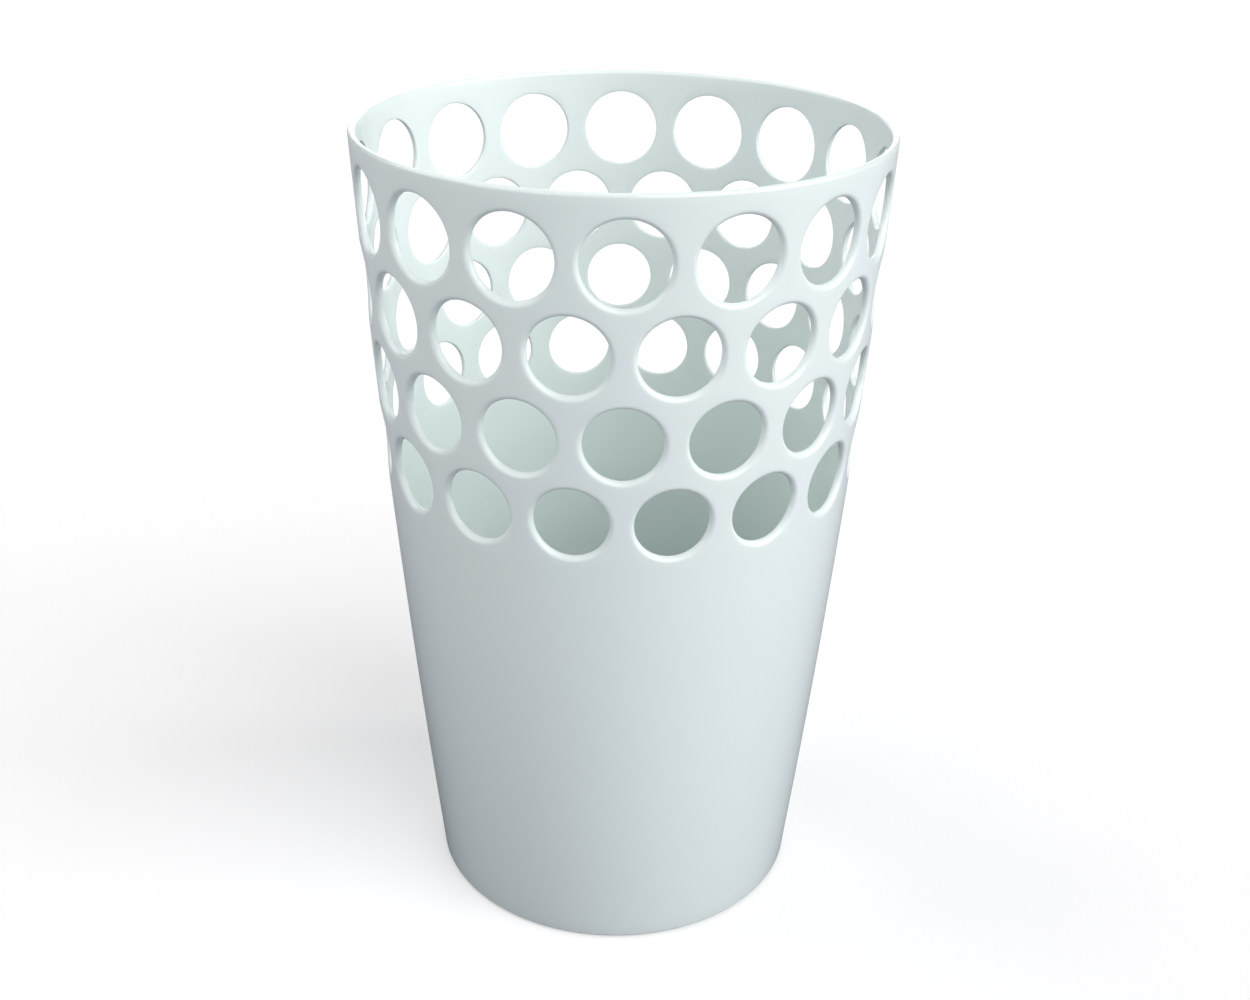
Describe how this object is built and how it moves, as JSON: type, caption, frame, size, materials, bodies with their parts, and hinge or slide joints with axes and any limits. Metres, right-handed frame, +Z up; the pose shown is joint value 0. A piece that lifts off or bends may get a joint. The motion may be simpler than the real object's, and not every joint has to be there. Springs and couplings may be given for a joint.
{
  "type": "umbrella stand",
  "caption": "Tapered round umbrella stand, open at the top, with staggered round holes through its upper wall, a closed lower wall, a weighted base and a lift-out drip tray.",
  "frame": {"origin": "centre of the circle of foot pads, in the plane that the pads rest on", "axes": "+Z up along the stand's axis, from the foot pads to the open mouth; -Y is the front, where a hole of the top row faces forward"},
  "size_m": [0.2854, 0.2854, 0.451],
  "materials": {
    "body_plastic": "glossy cool-white moulded plastic with a faint green-blue tint",
    "tray_plastic": "satin pale grey moulded plastic",
    "ballast_iron": "rough cast iron",
    "cover_plastic": "fine-textured pale grey moulded plastic",
    "screw_steel": "zinc-plated steel",
    "pad_rubber": "soft matt black rubber"
  },
  "bodies": {
    "stand": {"stand_body": "body_plastic", "ballast_disc": "ballast_iron", "base_cover": "cover_plastic", "cover_screws": "screw_steel", "foot_pad_1": "pad_rubber", "foot_pad_2": "pad_rubber", "foot_pad_3": "pad_rubber", "foot_pad_4": "pad_rubber"},
    "tray": {"drip_tray": "tray_plastic"}
  },
  "joints": [
    {"name": "tray_lift", "type": "slide", "parent": "stand", "child": "tray", "axis": [0, 0, 1], "range_m": [0, 0.44]}
  ]
}
